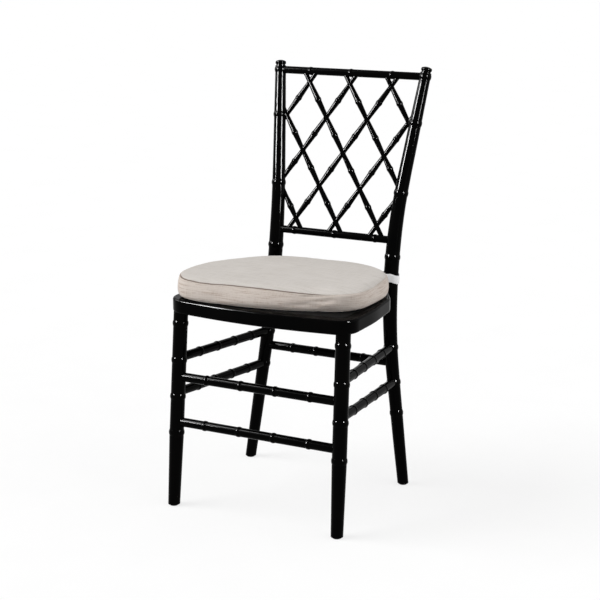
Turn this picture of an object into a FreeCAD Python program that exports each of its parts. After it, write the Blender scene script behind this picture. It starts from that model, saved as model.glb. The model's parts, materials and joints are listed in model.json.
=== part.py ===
"""A cross back chair: turned wood, a lattice back and a loose cushion strapped to the rear posts.

The chair stands on z = 0, faces -Y and is mirrored about x = 0. Sizes are in millimetres.
"""
import FreeCAD, Part
import math
import os

import Sketcher
from FreeCAD import Placement, Rotation, Vector

SIZES = {
    # Stance: the front legs' axes at the floor and at the seat's top
    "front_foot_half": 196.1,
    "front_foot_y": -232.9,
    "front_seat_half": 190.25,
    "front_seat_y": -195.3,
    # Stance: the rear posts' axes at the floor, at the knee where two straight runs meet, and at the tip
    "rear_foot_half": 195.7,
    "rear_foot_y": 107.5,
    "knee_half": 132.6,
    "knee_y": 127.3,
    "knee_height": 471.0,
    "knee_tangent": 218.0,
    "back_half": 180.2,
    "back_y": 236.1,
    "back_height": 918.5,
    "seat_height": 455.5,
    # Front legs
    "leg_foot_diameter": 26.0,
    "leg_diameter": 31.0,
    "leg_full_height": 150.0,
    "leg_bead_first": 162.2,
    "leg_bead_pitch": 79.3,
    # Rear posts: full thickness between two heights around the knee
    "post_foot_diameter": 25.0,
    "post_knee_diameter": 32.4,
    "post_top_diameter": 24.4,
    "post_full_low": 430.0,
    "post_full_high": 515.0,
    "post_bead_foot": 163.0,
    "post_bead_knee": 509.5,
    # Finials on the posts
    "finial_neck_diameter": 20.5,
    "finial_neck_height": 3.0,
    "button_shoulder_diameter": 22.0,
    "button_height": 10.4,
    "button_edge_height": 7.6,
    "button_edge_radius": 5.5,
    # Turned beads
    "leg_bead_width": 13.0,
    "leg_bead_rise": 1.5,
    "rung_bead_width": 10.0,
    "rung_bead_rise": 1.4,
    "slat_bead_width": 9.0,
    "slat_bead_rise": 1.0,
    # Rungs
    "rung_diameter": 19.6,
    "rung_bead_inset": 68.0,
    "front_rung_upper_height": 284.7,
    "front_rung_lower_height": 186.0,
    "rear_rung_height": 276.6,
    "side_rung_upper_front": 325.5,
    "side_rung_upper_rear": 310.0,
    "side_rung_lower_front": 250.5,
    "side_rung_lower_rear": 232.0,
    # Back rails and lattice
    "top_rail_drop": 21.1,
    "low_rail_height": 545.7,
    "top_rail_diameter": 16.8,
    "low_rail_diameter": 16.8,
    "lattice_pitch": 100.4,
    "lattice_low_gap": 28.2,
    "lattice_top_gap": 24.6,
    "slat_diameter": 12.9,
    "slat_neck_diameter": 10.3,
    "slat_neck_length": 16.0,
    "slat_tenon_length": 25.0,
    "slat_rail_tenon_length": 8.0,
    "slat_swell_room": 30.0,
    # Joint clearances and the distances at which ends stop short of the axis they point at
    "joint_fit": 0.1,
    "end_gap": 0.4,
    "rung_stop": 2.0,
    "slat_post_stop": 8.0,
    "slat_rail_stop": 2.0,
    "lap_gap": 0.1,
    # Seat frame: corners of its outline before rounding
    "seat_rail_height": 30.0,
    "seat_rail_width": 26.0,
    "seat_edge_radius": 4.5,
    "seat_front_y": -242.3,
    "seat_corner_half": 215.1,
    "seat_corner_y": -215.8,
    "seat_side_half": 216.4,
    "seat_side_y": -98.0,
    "seat_hip_half": 205.5,
    "seat_hip_y": 1.0,
    "seat_rear_half": 137.0,
    "seat_rear_y": 127.3,
    "seat_front_radius": 1100.0,
    "seat_corner_radius": 44.0,
    "seat_side_radius": 500.0,
    "seat_hip_radius": 60.0,
    "front_joint_y": -130.0,
    "rear_joint_y": 85.0,
    "seat_dowel_diameter": 10.0,
    "seat_dowel_length": 40.0,
    "leg_dowel_diameter": 12.0,
    "leg_dowel_length": 44.0,
    # Seat panel, corner blocks and their fasteners
    "panel_thickness": 9.0,
    "panel_gap": 0.5,
    "block_height": 18.0,
    "front_block_reach": 68.0,
    "rear_block_reach": 76.0,
    "bolt_diameter": 6.0,
    "bolt_head_diameter": 13.0,
    "bolt_head_height": 5.0,
    "bolt_stop": 3.0,
    "screw_diameter": 4.0,
    "screw_head_diameter": 8.0,
    "screw_head_height": 2.4,
    "screw_bite": 6.0,
    "screw_setback": 15.0,
    "screw_offset": 18.0,
    # Glides under the feet
    "glide_diameter": 19.0,
    "glide_height": 3.0,
    "glide_edge": 1.0,
    "glide_shank_diameter": 4.0,
    "glide_shank_length": 16.0,
    # Cushion: distances in from the seat outline's corners, heights and roundings
    "cushion_rest_gap": 0.3,
    "cushion_front_inset": 25.5,
    "cushion_side_inset": 1.0,
    "cushion_rear_inset": 37.0,
    "cushion_boxing_height": 43.0,
    "cushion_crown": 15.5,
    "cushion_draw_in": 3.0,
    "cushion_corner_radius": 62.0,
    "cushion_rear_radius": 145.0,
    # Straps round the rear posts
    "strap_height": 19.0,
    "strap_thickness": 1.6,
    "strap_gap": 1.9,
    "strap_lift": 3.0,
}

SIDES = {"left": -1, "right": 1}
LEG_BEADS = 4
RUNG_BEADS = 4
LATTICE_ROWS = 5
SLATS_EACH_WAY = 5
POST_SECTIONS_PER_RUN = 3
POST_SECTIONS_IN_BEND = 8
CROWN_SHARES = (0.975, 0.93, 0.85, 0.72, 0.55, 0.35, 0.15)
CROWN_POWER = 3.0
REACH = 400.0
NEAR = 0.01

X = Vector(1, 0, 0)
Z = Vector(0, 0, 1)

doc = FreeCAD.newDocument("cross_back_chair")
sheet = doc.addObject("Spreadsheet::Sheet", "Sizes")
for row, (alias, number) in enumerate(SIZES.items(), start=1):
    sheet.set(f"A{row}", alias)
    sheet.set(f"B{row}", str(number))
    sheet.setAlias(f"B{row}", alias)
doc.recompute()

nodes = []


# Small helpers

def size(name):
    return float(sheet.get(name))


def half(name):
    """A radius as weighted sizes: half of one diameter."""
    return ((name, 0.5),)


def taper(first, last, share):
    """A radius part of the way from one diameter to another."""
    return ((first, 0.5 * (1 - share)), (last, 0.5 * share))


def amount(weighted):
    return sum(size(name) * weight for name, weight in weighted)


def expression(weighted):
    return " + ".join(f"Sizes.{name} * {weight:.9f}" for name, weight in weighted)


def mirrored(point, side):
    return Vector(side * point.x, point.y, point.z)


def unit(vector):
    return Vector(vector).normalize()


def facing(direction):
    """The rotation that turns Z to a direction."""
    return Rotation(Z, direction)


def solve(function, low, high):
    """The place between two bounds where a rising function passes zero."""
    for _ in range(60):
        middle = (low + high) / 2
        if function(middle) < 0:
            low = middle
        else:
            high = middle
    return (low + high) / 2


def add(kind, name, **properties):
    item = doc.addObject(kind, name)
    for key, value in properties.items():
        setattr(item, key, value)
    return item


def node(label, item):
    item.Label = label
    nodes.append(item)
    return item


def cylinder(name, start, direction, radius_text, length):
    item = add("Part::Cylinder", name, Height=length)
    item.setExpression("Radius", radius_text)
    item.Placement = Placement(start, facing(direction))
    return item


def box(name, corner, lengths, rotation=Rotation()):
    item = add("Part::Box", name, Length=lengths.x, Width=lengths.y, Height=lengths.z)
    item.Placement = Placement(corner, rotation)
    return item


def cut(label, base, tools):
    """Cut several tools from a base."""
    tool = tools[0]
    if len(tools) > 1:
        tool = add("Part::MultiFuse", f"{label}_tools", Shapes=tools)
    return add("Part::Cut", f"{label}_cut", Base=base, Tool=tool)


# Turned pieces

def origin_plane(body, role):
    return next(item for item in body.Origin.OriginFeatures if item.Role == role)


def add_sketch(body, name, role):
    sketch = body.newObject("Sketcher::SketchObject", name)
    sketch.AttachmentSupport = [(origin_plane(body, role), "")]
    sketch.MapMode = "FlatFace"
    return sketch


def bead_radius_text(kind):
    return f"(Sizes.{kind}_width ^ 2 / 4 + Sizes.{kind}_rise ^ 2) / (2 * Sizes.{kind}_rise)"


def arc_through(start, end, radius):
    """An arc that bulges away from the turning axis."""
    chord = end - start
    middle = (start + end) * 0.5
    depth = radius - math.sqrt(max(radius ** 2 - chord.Length ** 2 / 4, 0))
    outward = unit(Vector(chord.y, -chord.x, 0))
    return Part.Arc(start, middle + outward * depth, end)


def turned(label, start, direction, profile):
    """Revolve a profile about an axis that leaves a start point in a direction.

    The profile lists (station, radius, arc) from the lower end up. The arc says how the line to the next
    point bulges: None for a straight line, or the text of the arc's radius and its value.
    """
    body = doc.addObject("PartDesign::Body", f"{label}_body")
    sketch = add_sketch(body, f"{label}_profile", "XZ_Plane")
    corners = [Vector(amount(radius), station, 0) for station, radius, _ in profile]
    first = Vector(0, profile[0][0], 0)
    last = Vector(0, profile[-1][0], 0)
    closed_top = corners[-1].x > 0
    geometry = [Part.LineSegment(first, corners[0])]
    for (_, _, arc), here, there in zip(profile, corners, corners[1:]):
        geometry.append(Part.LineSegment(here, there) if arc is None else arc_through(here, there, arc[1]))
    if closed_top:
        geometry.append(Part.LineSegment(corners[-1], last))
    geometry.append(Part.LineSegment(last, first))
    sketch.addGeometry(geometry, False)

    make = Sketcher.Constraint
    count = len(geometry)
    rules = [make("Coincident", index, 2, (index + 1) % count, 1) for index in range(count)]
    rules.append(make("PointOnObject", 0, 1, -2))
    rules.append(make("PointOnObject", count - 1, 1, -2))
    bound = {}
    for index, (station, radius, arc) in enumerate(profile, start=1):
        if index < count - 1 or closed_top:
            bound[len(rules)] = expression(radius)
            rules.append(make("DistanceX", -1, 1, index, 1, amount(radius)))
        rules.append(make("DistanceY", -1, 1, index, 1, station))
        if arc is not None:
            bound[len(rules)] = arc[0]
            rules.append(make("Radius", index, arc[1]))
    rules.append(make("DistanceY", -1, 1, 0, 1, profile[0][0]))
    if closed_top:
        rules.append(make("DistanceY", -1, 1, count - 1, 1, profile[-1][0]))
    sketch.addConstraint(rules)
    for place, text in bound.items():
        sketch.setExpression(f"Constraints[{place}]", text)

    turn = body.newObject("PartDesign::Revolution", f"{label}_turning")
    turn.Profile = sketch
    turn.ReferenceAxis = (sketch, ["V_Axis"])
    turn.Angle = 360
    body.Placement = Placement(start, facing(direction))
    return body


def bead_arc(kind):
    width = size(f"{kind}_width")
    rise = size(f"{kind}_rise")
    return bead_radius_text(kind), (width ** 2 / 4 + rise ** 2) / (2 * rise)


def dome_arc(radius, rise):
    """A dome over a radius, as tall as a rise; both are weighted sizes."""
    text = f"(({expression(radius)}) ^ 2 + ({expression(rise)}) ^ 2) / (2 * ({expression(rise)}))"
    return text, (amount(radius) ** 2 + amount(rise) ** 2) / (2 * amount(rise))


def bead(station, radius_at, kind):
    """The two profile points of a bead."""
    reach = size(f"{kind}_width") / 2
    return [
        (station - reach, radius_at(station - reach), bead_arc(kind)),
        (station + reach, radius_at(station + reach), None),
    ]


# Axes of the front legs and rear posts

def front_axis(side, height):
    share = height / size("seat_height")
    foot = Vector(size("front_foot_half"), size("front_foot_y"), 0)
    seat = Vector(size("front_seat_half"), size("front_seat_y"), size("seat_height"))
    return mirrored(foot + (seat - foot) * share, side)


def front_direction(side):
    return unit(front_axis(side, size("seat_height")) - front_axis(side, 0))


class PostAxis:
    """A rear post's centre line: a straight run, a bend tangent to both runs, and a second straight run."""

    def __init__(self, side):
        self.foot = mirrored(Vector(size("rear_foot_half"), size("rear_foot_y"), 0), side)
        knee = mirrored(Vector(size("knee_half"), size("knee_y"), size("knee_height")), side)
        tip = mirrored(Vector(size("back_half"), size("back_y"), size("back_height")), side)
        self.lower = unit(knee - self.foot)
        self.upper = unit(tip - knee)
        self.turn = self.lower.getAngle(self.upper)
        self.radius = size("knee_tangent") / math.tan(self.turn / 2)
        self.inward = unit(self.upper - self.lower * self.lower.dot(self.upper))
        self.lower_length = (knee - self.foot).Length - size("knee_tangent")
        self.bend_length = self.radius * self.turn
        self.bend_end = knee + self.upper * size("knee_tangent")
        self.length = self.lower_length + self.bend_length + (tip - self.bend_end).Length

    def direction(self, station):
        angle = min(max((station - self.lower_length) / self.radius, 0), self.turn)
        return self.lower * math.cos(angle) + self.inward * math.sin(angle)

    def point(self, station):
        if station <= self.lower_length:
            return self.foot + self.lower * station
        if station >= self.lower_length + self.bend_length:
            return self.bend_end + self.upper * (station - self.lower_length - self.bend_length)
        angle = (station - self.lower_length) / self.radius
        start = self.foot + self.lower * self.lower_length
        along = self.lower * (self.radius * math.sin(angle))
        return start + along + self.inward * (self.radius * (1 - math.cos(angle)))

    def station(self, height):
        return solve(lambda place: self.point(place).z - height, -self.length, 2 * self.length)

    def at(self, height):
        return self.point(self.station(height))


POSTS = {name: PostAxis(side) for name, side in SIDES.items()}


def post_radius(height):
    if height < size("post_full_low"):
        share = height / size("post_full_low")
        return taper("post_foot_diameter", "post_knee_diameter", max(share, 0))
    if height < size("post_full_high"):
        return half("post_knee_diameter")
    share = (height - size("post_full_high")) / (size("back_height") - size("post_full_high"))
    return taper("post_knee_diameter", "post_top_diameter", share)


# Sockets and rods between two axes

def socket(name, axis_point, direction, diameter, stop, length):
    """A blind bore that opens outward from near an axis."""
    start = axis_point + direction * (size(stop) - size("end_gap"))
    return cylinder(name, start, direction, f"Sizes.{diameter} / 2 + Sizes.joint_fit", length)


def even_stations(length):
    inset = size("rung_bead_inset")
    pitch = (length - 2 * inset) / (RUNG_BEADS - 1)
    return [inset + index * pitch for index in range(RUNG_BEADS)]


def rod_profile(length, diameter, beads, kind):
    radius = half(diameter)
    points = [(0, radius, None)]
    for station in beads:
        points += bead(station, lambda _: radius, kind)
    return points + [(length, radius, None)]


def rod(label, first, last, diameter, stop, beads_for, kind):
    """A turned rod between two axis points, with the sockets that its ends need."""
    direction = unit(last - first)
    start = first + direction * size(stop)
    length = (last - first).Length - 2 * size(stop)
    body = turned(label, start, direction, rod_profile(length, diameter, beads_for(length), kind))
    deep = size("leg_diameter")
    holes = (
        socket(f"{label}_first_socket", first, direction, diameter, stop, deep),
        socket(f"{label}_last_socket", last, -direction, diameter, stop, deep),
    )
    return body, holes


leg_holes = {name: [] for name in SIDES}
post_holes = {name: [] for name in SIDES}


def make_rungs():
    for level in ("upper", "lower"):
        height = size(f"front_rung_{level}_height")
        ends = [front_axis(side, height) for side in SIDES.values()]
        label = f"front_rung_{level}"
        body, holes = rod(label, *ends, "rung_diameter", "rung_stop", even_stations, "rung_bead")
        node(label, body)
        for name, hole in zip(SIDES, holes):
            leg_holes[name].append(hole)
        for name, side in SIDES.items():
            front = front_axis(side, size(f"side_rung_{level}_front"))
            rear = POSTS[name].at(size(f"side_rung_{level}_rear"))
            label = f"{name}_rung_{level}"
            body, holes = rod(label, front, rear, "rung_diameter", "rung_stop", even_stations, "rung_bead")
            node(label, body)
            leg_holes[name].append(holes[0])
            post_holes[name].append(holes[1])
    ends = [POSTS[name].at(size("rear_rung_height")) for name in SIDES]
    body, holes = rod("rear_rung", *ends, "rung_diameter", "rung_stop", even_stations, "rung_bead")
    node("rear_rung", body)
    for name, hole in zip(SIDES, holes):
        post_holes[name].append(hole)


# Back rails and lattice, drawn in the plane through both rails

def top_rail_height():
    return size("back_height") - size("top_rail_drop")


class BackPlane:
    def __init__(self):
        low = POSTS["right"].at(size("low_rail_height"))
        top = POSTS["right"].at(top_rail_height())
        self.origin = Vector(0, low.y, low.z)
        self.up = unit(Vector(0, top.y - low.y, top.z - low.z))
        self.front = X.cross(self.up)
        self.height = math.hypot(top.y - low.y, top.z - low.z)
        lattice_height = self.height - size("lattice_low_gap") - size("lattice_top_gap")
        self.row_pitch = lattice_height / (LATTICE_ROWS - 1)
        self.slope = size("lattice_pitch") / 2 / self.row_pitch

    def point(self, across, up):
        return self.origin + X * across + self.up * up

    def row(self, index):
        """Height of a lattice row, counted down from the top; halves lie between rows."""
        return self.height - size("lattice_top_gap") - index * self.row_pitch

    def post_limit(self, up):
        """How far out from the middle a slat may reach into a post at a height in the plane."""
        return POSTS["right"].at(self.point(0, up).z).x - size("slat_post_stop")


BACK = BackPlane()


class Slat:
    """One lattice slat; a falling one runs down to the right and a rising one is its mirror image."""

    def __init__(self, index, falling):
        self.falling = falling
        self.label = f"{'falling' if falling else 'rising'}_slat_{index + 1}"
        self.offset = (index - SLATS_EACH_WAY + 2) * size("lattice_pitch")
        lowest = size("slat_rail_stop")
        highest = BACK.height - size("slat_rail_stop")
        self.top = solve(lambda up: -self.run(up) - BACK.post_limit(up), lowest, highest)
        self.bottom = solve(lambda up: BACK.post_limit(up) - self.run(up), lowest, highest)
        self.in_post_above = self.top < highest - NEAR
        self.in_post_below = self.bottom > lowest + NEAR

    def run(self, up):
        return self.offset + (BACK.row(0) - up) * BACK.slope

    def place(self, up):
        across = self.run(up)
        return BACK.point(across if self.falling else -across, up)

    def direction(self):
        return unit(self.place(self.bottom) - self.place(self.top))

    def station(self, up):
        return (self.top - up) * math.hypot(1, BACK.slope)

    def length(self):
        return self.station(self.bottom)

    def rows(self):
        """Rows at which the slat crosses another."""
        return [row for row in range(LATTICE_ROWS) if self.bottom < BACK.row(row) < self.top]

    def thin_stretches(self):
        """Stretches of neck thickness: both ends, which sit in sockets, and every crossing."""
        reach = size("slat_neck_length") / 2
        ends = [size("slat_tenon_length" if in_post else "slat_rail_tenon_length")
                for in_post in (self.in_post_above, self.in_post_below)]
        crossings = [self.station(BACK.row(row)) for row in self.rows()]
        stretches = [(station - reach, station + reach) for station in crossings]
        return [(0, ends[0]), *stretches, (self.length() - ends[1], self.length())]

    def profile(self):
        """Neck thickness with a beaded swell wherever two thin stretches leave room for one."""
        neck = half("slat_neck_diameter")
        swell = half("slat_diameter")
        stretches = self.thin_stretches()
        points = [(0, neck, None)]
        thin_until = 0
        for (_, leave), (arrive, _) in zip(stretches, stretches[1:]):
            thin_until = max(thin_until, leave)
            arrive = min(arrive, stretches[-1][0])
            if arrive - thin_until > size("slat_swell_room"):
                points.append((thin_until, neck, None))
                points += bead((thin_until + arrive) / 2, lambda _: swell, "slat_bead")
                points.append((arrive, neck, None))
        return points + [(self.length(), neck, None)]


def lap_box(name, slat, other, row):
    """The half of a slat that makes way for the one it crosses."""
    width = size("slat_neck_diameter") + 2 * size("joint_fit")
    long = 3 * size("slat_diameter")
    deep = size("slat_diameter")
    away = -BACK.front if slat.falling else BACK.front
    along = other.direction()
    across = away.cross(along)
    centre = slat.place(BACK.row(row)) - away * (size("lap_gap") / 2)
    corner = centre - along * (long / 2) - across * (width / 2)
    return box(name, corner, Vector(long, width, deep), Rotation(along, across, away, "ZXY"))


def crossing_slat(slat, others, row):
    """The slat of the other direction that passes through the same point of a row."""
    place = slat.place(BACK.row(row))
    return next(other for other in others if (other.place(BACK.row(row)) - place).Length < NEAR)


def make_back():
    falling = [Slat(index, True) for index in range(SLATS_EACH_WAY)]
    rising = [Slat(index, False) for index in range(SLATS_EACH_WAY)]
    rail_holes = {"top": [], "low": []}
    for slats, others in ((falling, rising), (rising, falling)):
        for slat in slats:
            body = turned(slat.label, slat.place(slat.top), slat.direction(), slat.profile())
            laps = []
            for row in slat.rows():
                other = crossing_slat(slat, others, row)
                laps.append(lap_box(f"{slat.label}_lap_{row}", slat, other, row))
            node(slat.label, cut(slat.label, body, laps))
            upper_post, lower_post = ("left", "right") if slat.falling else ("right", "left")
            ends = (
                (slat.top, slat.direction(), slat.in_post_above, "top", upper_post),
                (slat.bottom, -slat.direction(), slat.in_post_below, "low", lower_post),
            )
            for up, direction, in_post, rail, post in ends:
                start = slat.place(up) - direction * size("end_gap")
                text = "Sizes.slat_neck_diameter / 2 + Sizes.joint_fit"
                deep = size("post_knee_diameter") if in_post else size("top_rail_diameter")
                hole = cylinder(f"{slat.label}_{rail}_hole", start, direction, text, deep)
                (post_holes[post] if in_post else rail_holes[rail]).append(hole)

    columns = [-size("lattice_pitch"), 0, size("lattice_pitch")]
    for rail, height in (("top", top_rail_height()), ("low", size("low_rail_height"))):
        ends = [POSTS[name].at(height) for name in SIDES]
        label = f"{rail}_back_rail"
        body, holes = rod(
            label, *ends, f"{rail}_rail_diameter", "rung_stop",
            lambda length: [length / 2 + column for column in columns], "slat_bead",
        )
        node(label, cut(label, body, rail_holes[rail]))
        for name, hole in zip(SIDES, holes):
            post_holes[name].append(hole)


# Seat frame

def seat_corners():
    """The seat frame's outline before rounding, counter-clockwise from the middle of the front."""
    right = [
        (size("seat_corner_half"), size("seat_corner_y")),
        (size("seat_side_half"), size("seat_side_y")),
        (size("seat_hip_half"), size("seat_hip_y")),
        (size("seat_rear_half"), size("seat_rear_y")),
    ]
    return both_sides((0, size("seat_front_y")), right)


def both_sides(front, right):
    points = [front] + right + [(-across, depth) for across, depth in reversed(right)]
    return [Vector(across, depth, 0) for across, depth in points]


def inset(corners, distance):
    """Move every edge of a counter-clockwise outline inward."""
    moved = []
    for index, corner in enumerate(corners):
        before = unit(corner - corners[index - 1])
        after = unit(corners[(index + 1) % len(corners)] - corner)
        inward = Z.cross(before) + Z.cross(after)
        moved.append(corner + inward * (distance / (1 + before.dot(after))))
    return moved


def seat_bottom():
    return size("seat_height") - size("seat_rail_height")


def round_edges(body, base, chosen, radius_text):
    """Fillet the edges of a feature that a test picks out."""
    doc.recompute()
    names = [f"Edge{place}" for place, edge in enumerate(base.Shape.Edges, start=1) if chosen(edge)]
    fillet = body.newObject("PartDesign::Fillet", f"{base.Name}_round")
    fillet.Base = (base, names)
    fillet.setExpression("Radius", radius_text)
    return fillet


def lies_flat(edge):
    return edge.BoundBox.ZLength < NEAR


def slab(label, corners, base_height, thickness_text, radii):
    """A flat piece with an outline whose corners are rounded by the given radii."""
    body = doc.addObject("PartDesign::Body", f"{label}_body")
    sketch = add_sketch(body, f"{label}_outline", "XY_Plane")
    count = len(corners)
    sketch.addGeometry(
        [Part.LineSegment(corners[index], corners[(index + 1) % count]) for index in range(count)], False)
    make = Sketcher.Constraint
    rules = [make("Coincident", index, 2, (index + 1) % count, 1) for index in range(count)]
    for index, corner in enumerate(corners):
        rules.append(make("DistanceX", -1, 1, index, 1, corner.x))
        rules.append(make("DistanceY", -1, 1, index, 1, corner.y))
    sketch.addConstraint(rules)
    feature = body.newObject("PartDesign::Pad", f"{label}_pad")
    feature.Profile = sketch
    feature.setExpression("Length", thickness_text)
    for text, places in radii.items():
        def stands_there(edge):
            first, last = edge.Vertexes[0].Point, edge.Vertexes[-1].Point
            upright = math.hypot(first.x - last.x, first.y - last.y) < NEAR
            return upright and any(math.hypot(first.x - corners[at].x, first.y - corners[at].y) < NEAR
                                   for at in places)
        feature = round_edges(body, feature, stands_there, text)
    body.Placement = Placement(Vector(0, 0, base_height), Rotation())
    return body, feature


def seat_radii(reduced_by):
    """Corner roundings by place in the outline, less the distance that the outline is moved in."""
    kinds = {"front": (0,), "corner": (1, 8), "side": (2, 7), "hip": (3, 6)}
    return {f"Sizes.seat_{kind}_radius - {reduced_by}": places for kind, places in kinds.items()}


def outline_half(depth):
    """Half of the outline's width at a depth on its sides."""
    corners = seat_corners()[1:5]
    for first, last in zip(corners, corners[1:]):
        if first.y <= depth <= last.y:
            return first.x + (last.x - first.x) * (depth - first.y) / (last.y - first.y)
    return corners[-1].x


def side_direction(depth):
    step = 1.0
    return unit(Vector(outline_half(depth + step) - outline_half(depth - step), 2 * step, 0))


def dowel(label, middle, direction, kind):
    """A dowel about a middle point and the bore that it fits."""
    length = size(f"{kind}_length")
    diameter = f"{kind}_diameter"
    start = middle - direction * (length / 2)
    node(label, cylinder(f"{label}_pin", start, direction, f"Sizes.{diameter} / 2", length))
    deep = length + 2 * size("end_gap")
    text = f"Sizes.{diameter} / 2 + Sizes.joint_fit"
    return cylinder(f"{label}_bore", middle - direction * (deep / 2), direction, text, deep)


def block_direction(corner_place):
    """The horizontal direction that points out of a corner of the seat's outline."""
    corners = seat_corners()
    corner = corners[corner_place]
    before = unit(corners[corner_place - 1] - corner)
    after = unit(corners[(corner_place + 1) % len(corners)] - corner)
    return -unit(before + after)


def turned_head_profile(prefix, length):
    """A fastener from the top of its head to the tip of its shank."""
    head = half(f"{prefix}_head_diameter")
    shank = half(f"{prefix}_diameter")
    tall = size(f"{prefix}_head_height")
    return [(0, head, None), (tall, head, None), (tall, shank, None), (tall + length, shank, None)]


def fastener(label, prefix, seat_point, direction, length):
    """A headed fastener whose head sits on a face, and the bore round its shank."""
    start = seat_point - direction * size(f"{prefix}_head_height")
    node(label, turned(label, start, direction, turned_head_profile(prefix, length)))
    text = f"Sizes.{prefix}_diameter / 2 + Sizes.joint_fit"
    return cylinder(f"{label}_bore", seat_point, direction, text, length + size("end_gap"))


def make_seat():
    width = size("seat_rail_width")
    corners = seat_corners()
    outer, rounded = slab("seat_blank", corners, seat_bottom(), "Sizes.seat_rail_height", seat_radii("0"))
    tall = size("seat_rail_height")
    rim = round_edges(outer, rounded, lies_flat, "Sizes.seat_edge_radius")
    outer.Tip = rim
    opening, _ = slab("seat_opening", inset(corners, width), seat_bottom(), "Sizes.seat_rail_height",
                      seat_radii("Sizes.seat_rail_width"))
    ring = add("Part::Cut", "seat_ring", Base=outer, Tool=opening)
    panel_gap = size("panel_gap")
    panel, _ = slab("seat_panel", inset(corners, width + panel_gap),
                    size("seat_height") - size("panel_thickness"), "Sizes.panel_thickness",
                    seat_radii("Sizes.seat_rail_width - Sizes.panel_gap"))

    front_tools, rear_tools, panel_tools = [], [], []
    side_tools = {name: [] for name in SIDES}
    middle = seat_bottom() + tall / 2
    for name, side in SIDES.items():
        # Dowels across the four joints of the frame
        for end, tools in (("front", front_tools), ("rear", rear_tools)):
            depth = size(f"{end}_joint_y")
            along = side_direction(depth)
            inward = Z.cross(along) * (width / 2)
            place = mirrored(Vector(outline_half(depth), depth, middle) + inward, side)
            bore = dowel(f"{end}_{name}_seat_dowel", place, mirrored(along, side), "seat_dowel")
            tools.append(bore)
            side_tools[name].append(bore)
        # A dowel joins each front leg to the frame above its shoulder
        place = front_axis(side, seat_bottom())
        bore = dowel(f"{name}_leg_dowel", place, front_direction(side), "leg_dowel")
        front_tools.append(bore)
        leg_holes[name].append(bore)
        # Each rear post nests in a notch of the frame's rear corner
        post = POSTS[name]
        station = post.station(middle)
        along = post.direction(station)
        notch = cylinder(f"{name}_post_notch", post.point(station) - along * tall, along,
                         "Sizes.post_knee_diameter / 2 + Sizes.joint_fit", 2 * tall)
        rear_tools.append(notch)
        # Corner blocks carry the panel; a bolt through each rear one holds the post
        block_top = size("seat_height") - size("panel_thickness")
        centre_height = block_top - size("block_height") / 2
        spots = (
            ("front", front_axis(side, centre_height), block_direction(1), front_tools),
            ("rear", post.at(centre_height), block_direction(4), rear_tools),
        )
        for end, axis_point, outward, tools in spots:
            outward = mirrored(outward, side)
            across = Z.cross(outward)
            face = axis_point - outward * size(f"{end}_block_reach")
            label = f"{end}_{name}_corner_block"
            corner = face - across * REACH - Z * (size("block_height") / 2)
            lengths = Vector(REACH, 2 * REACH, size("block_height"))
            region = box(f"{label}_region", corner, lengths, Rotation(outward, across, Z, "ZXY"))
            region.setExpression("Height", "Sizes.block_height")
            blank = add("Part::Common", f"{label}_blank", Base=opening, Tool=region)
            tools_here = []
            if end == "rear":
                length = size("rear_block_reach") - size("bolt_stop")
                bore = fastener(f"{name}_post_bolt", "bolt", face, outward, length)
                tools_here.append(bore)
                tools.append(bore)
                post_holes[name].append(bore)
            place = face + outward * size("screw_setback") + across * (side * size("screw_offset"))
            place.z = block_top - size("block_height")
            length = size("block_height") + size("screw_bite")
            bore = fastener(f"{end}_{name}_panel_screw", "screw", place, Z, length)
            tools_here.append(bore)
            panel_tools.append(bore)
            node(label, cut(label, blank, tools_here))

    node("seat_panel", cut("seat_panel", panel, panel_tools))
    front_y = size("front_joint_y")
    rear_y = size("rear_joint_y")
    low = seat_bottom() - tall
    pieces = [
        ("seat_front_rail", (-REACH, -REACH), (2 * REACH, REACH + front_y), front_tools),
        ("seat_rear_rail", (-REACH, rear_y), (2 * REACH, REACH), rear_tools),
        ("seat_left_rail", (-REACH, front_y), (REACH, rear_y - front_y), side_tools["left"]),
        ("seat_right_rail", (0, front_y), (REACH, rear_y - front_y), side_tools["right"]),
    ]
    for label, corner, lengths, tools in pieces:
        region = box(f"{label}_region", Vector(*corner, low), Vector(*lengths, 3 * tall))
        part = add("Part::Common", f"{label}_blank", Base=ring, Tool=region)
        node(label, cut(label, part, tools))


# Legs, posts and glides

def floor_cut(label, place):
    """A block below the height where a leg is sawn level for its glide."""
    wide = 4 * size("leg_diameter")
    corner = Vector(place.x - wide / 2, place.y - wide / 2, size("glide_height") - wide)
    return box(f"{label}_floor", corner, Vector(wide, wide, wide))


def make_glide(label, place):
    """A glide tacked under a foot, and the bore for its shank."""
    rim = half("glide_diameter")
    flat = (("glide_diameter", 0.5), ("glide_edge", -1.0))
    shank = half("glide_shank_diameter")
    edge = size("glide_edge")
    tall = size("glide_height")
    top = tall + size("glide_shank_length")
    arc = ("Sizes.glide_edge", edge)
    profile = [(0, flat, arc), (edge, rim, None), (tall, rim, None), (tall, shank, None), (top, shank, None)]
    start = Vector(place.x, place.y, 0)
    node(label, turned(label, start, Z, profile))
    text = "Sizes.glide_shank_diameter / 2 + Sizes.joint_fit"
    return cylinder(f"{label}_bore", start, Z, text, top + size("end_gap"))


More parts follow.
